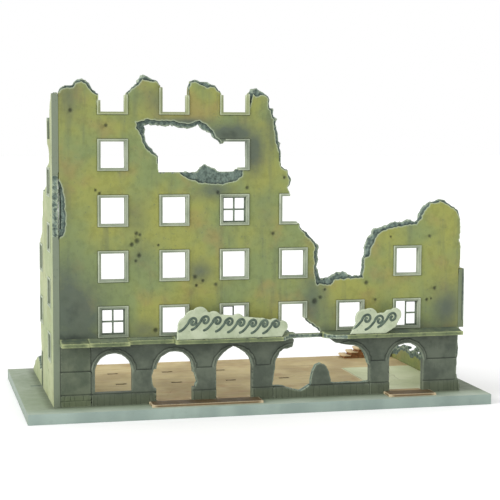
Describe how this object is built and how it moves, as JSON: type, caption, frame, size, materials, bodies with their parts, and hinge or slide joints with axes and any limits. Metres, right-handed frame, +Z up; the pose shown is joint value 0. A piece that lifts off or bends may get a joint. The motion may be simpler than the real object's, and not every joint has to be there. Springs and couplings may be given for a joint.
{
  "type": "miniature terrain ruin",
  "caption": "Ruined town building for tabletop games: arcade, canopy, pierced front wall with shell hole, side walls, signs and floor on a flat board.",
  "frame": {"origin": "under the middle of the base board, on its underside", "axes": "+X along the street front to the right as seen from the street, +Y from the street front to the open back, +Z up"},
  "size_m": [0.36, 0.191, 0.254],
  "materials": {
    "board": "painted board, matt",
    "floor": "painted sheet, matt",
    "slab": "painted sheet, matt",
    "step": "painted sheet, matt",
    "stone": "cast, painted and dry brushed",
    "canopy": "cast, painted and dry brushed",
    "plaster": "cast, airbrushed, matt",
    "frame": "cast, painted, matt",
    "sash": "cut from thin card, painted",
    "sign": "cast, painted and dry brushed",
    "brick": "cast, painted, matt",
    "tread": "cut from thin board, painted",
    "rubble": "cast, painted and dry brushed"
  },
  "bodies": {
    "root": {"base_board": "board", "floor_panel": "floor", "yard_slab": "slab", "door_step_left": "step", "door_step_right": "step", "corner_pier": "stone", "arcade_left": "stone", "parapet_wall": "stone", "arcade_right": "stone", "canopy_slab_1": "canopy", "canopy_slab_2": "canopy", "canopy_slab_3": "canopy", "canopy_slab_4": "canopy", "canopy_slab_5": "canopy", "front_wall": "plaster", "side_wall_left": "plaster", "side_wall_right": "plaster", "sign_left": "sign", "sign_right": "sign", "sash_whole_23": "sash", "sash_whole_41": "sash", "sash_pane_43": "sash", "sash_half_46": "sash", "stair_block": "brick", "stair_treads": "tread", "canopy_rubble": "rubble", "wall_top_rubble": "rubble", "window_frame_11": "frame", "window_frame_21": "frame", "window_frame_22": "frame", "window_frame_23": "frame", "window_frame_31": "frame", "window_frame_32": "frame", "window_frame_33": "frame", "window_frame_34": "frame", "window_frame_36": "frame", "window_frame_41": "frame", "window_frame_42": "frame", "window_frame_43": "frame", "window_frame_45": "frame", "window_frame_46": "frame", "window_frame_01": "frame", "window_frame_02": "frame", "window_frame_03": "frame", "window_frame_13": "frame", "window_frame_24": "frame", "window_frame_44": "frame", "side_frame_1": "frame", "side_frame_2": "frame", "side_frame_3": "frame", "side_frame_4": "frame", "side_frame_5": "frame", "side_frame_6": "frame"}
  },
  "joints": []
}
